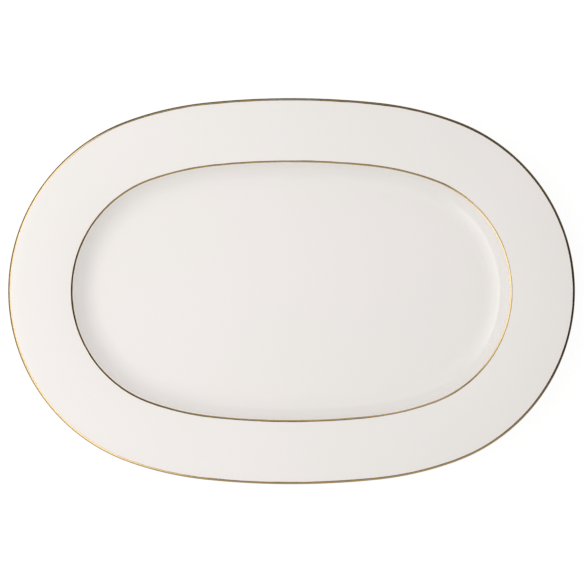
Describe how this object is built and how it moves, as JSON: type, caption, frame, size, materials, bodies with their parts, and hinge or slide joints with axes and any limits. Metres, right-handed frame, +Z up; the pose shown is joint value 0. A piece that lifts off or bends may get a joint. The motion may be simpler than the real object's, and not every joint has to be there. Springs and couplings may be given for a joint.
{
  "type": "serving platter",
  "caption": "Oval glazed porcelain serving platter with a broad rim, a shallow flat well, an oval foot ring, a gilt lip band and a gilt line at the shoulder.",
  "frame": {"origin": "on the table plane under the foot ring's seat, at the middle of the platter", "axes": "+X along the platter's length, +Y across its width, +Z up out of the well"},
  "size_m": [0.34, 0.2316, 0.0248],
  "materials": {
    "bare_clay": "unglazed porcelain, ground smooth on the foot's seat",
    "glaze": "clear gloss glaze over warm white porcelain",
    "gold": "bright burnished gilding, thin and hand banded",
    "ceramic_ink": "grey-green ceramic print under a thin gloss"
  },
  "bodies": {
    "root": {"porcelain_body": "bare_clay", "outer_glaze": "glaze", "foot_recess_glaze": "glaze", "lip_gold_band": "gold", "shoulder_gold_line": "gold", "back_mark_print": "ceramic_ink"}
  },
  "joints": []
}
